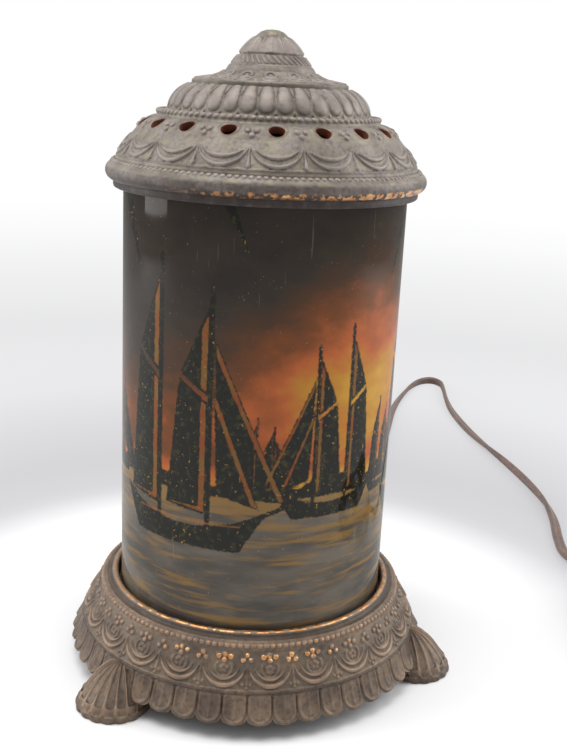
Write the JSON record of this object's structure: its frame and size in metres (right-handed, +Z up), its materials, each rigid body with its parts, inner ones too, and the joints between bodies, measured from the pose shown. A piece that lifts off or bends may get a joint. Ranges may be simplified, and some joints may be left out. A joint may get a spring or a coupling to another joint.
{
  "type": "rotating motion lamp",
  "caption": "Free-standing table lamp: a painted glass cylinder between a cast footed base and a vented cast cap, with a heat-driven drum turning on a needle inside.",
  "frame": {"origin": "on the floor, on the lamp's vertical axis", "axes": "+Z up along the axis of the glass and rotor, -Y towards the front, +X to the right seen from the front"},
  "size_m": [0.362, 0.5236, 0.2645],
  "materials": {
    "patinated_casting": "cast zinc alloy with a worn bronze finish, grey-green dust in its hollows and copper wear on its rims",
    "painted_glass": "glass painted on its outer face, semi-gloss",
    "zinc_plated_steel": "zinc plated, dulled",
    "turned_brass": "turned, tarnished",
    "moulded_bushing": "moulded, matt",
    "spun_brass": "spun, lacquered, tarnished",
    "fibre_board": "vulcanised fibre, matt",
    "moulded_phenolic": "compression moulded phenolic, glossy",
    "rolled_copper_alloy": "rolled, bright",
    "bulb_cap_aluminium": "pressed, bright",
    "bulb_glass": "blown, clear",
    "tungsten": "drawn wire",
    "drawn_steel_wire": "drawn wire",
    "polished_needle_steel": "ground point",
    "stamped_aluminium": "stamped sheet, satin",
    "printed_celluloid": "translucent sheet with a printed pattern",
    "brown_rubber": "moulded rubber, matt",
    "brown_lead": "extruded flat lead, satin",
    "tie_paper": "paper covered wire tie",
    "ivory_urea": "moulded urea, semi-gloss"
  },
  "bodies": {
    "stand": {"base_casting": "patinated_casting", "crossbar": "zinc_plated_steel", "bar_screws": "zinc_plated_steel", "nipple": "turned_brass", "locknut": "turned_brass", "nipple_bushing": "moulded_bushing", "socket_cap": "spun_brass", "socket_shell": "spun_brass", "socket_liner": "fibre_board", "socket_body": "moulded_phenolic", "terminal_screws": "turned_brass", "screw_shell": "rolled_copper_alloy", "centre_contact": "rolled_copper_alloy", "bulb_base": "bulb_cap_aluminium", "bulb_glass": "bulb_glass", "bulb_stem": "bulb_glass", "bulb_filament": "tungsten", "pivot_frame": "drawn_steel_wire", "needle_holder": "turned_brass", "pivot_needle": "polished_needle_steel", "cord_sleeve": "brown_rubber", "inner_cord": "brown_lead", "cord_run": "brown_lead", "cord_coil": "brown_lead", "cord_tie": "tie_paper", "switch_base": "moulded_phenolic", "switch_cover": "moulded_phenolic", "switch_screw": "turned_brass", "plug_body": "moulded_phenolic", "plug_blades": "turned_brass"},
    "shade": {"glass_shade": "painted_glass"},
    "cap": {"cap_casting": "patinated_casting"},
    "rotor": {"bearing_cup": "turned_brass", "spinner": "stamped_aluminium", "flame_drum": "printed_celluloid"},
    "wheel": {"switch_wheel": "ivory_urea"}
  },
  "joints": [
    {"name": "rotor_spin", "type": "hinge", "parent": "stand", "child": "rotor", "pos_m": [0, 0, 0.191], "axis": [0, 0, 1], "continuous": true},
    {"name": "shade_lift", "type": "slide", "parent": "stand", "child": "shade", "axis": [0, 0, 1], "range_m": [0, 0.17]},
    {"name": "cap_lift", "type": "slide", "parent": "shade", "child": "cap", "axis": [0, 0, 1], "range_m": [0, 0.06]},
    {"name": "switch_wheel_turn", "type": "hinge", "parent": "stand", "child": "wheel", "pos_m": [0.192, 0.022, 0.0085], "axis": [0, 0, 1], "continuous": true}
  ]
}
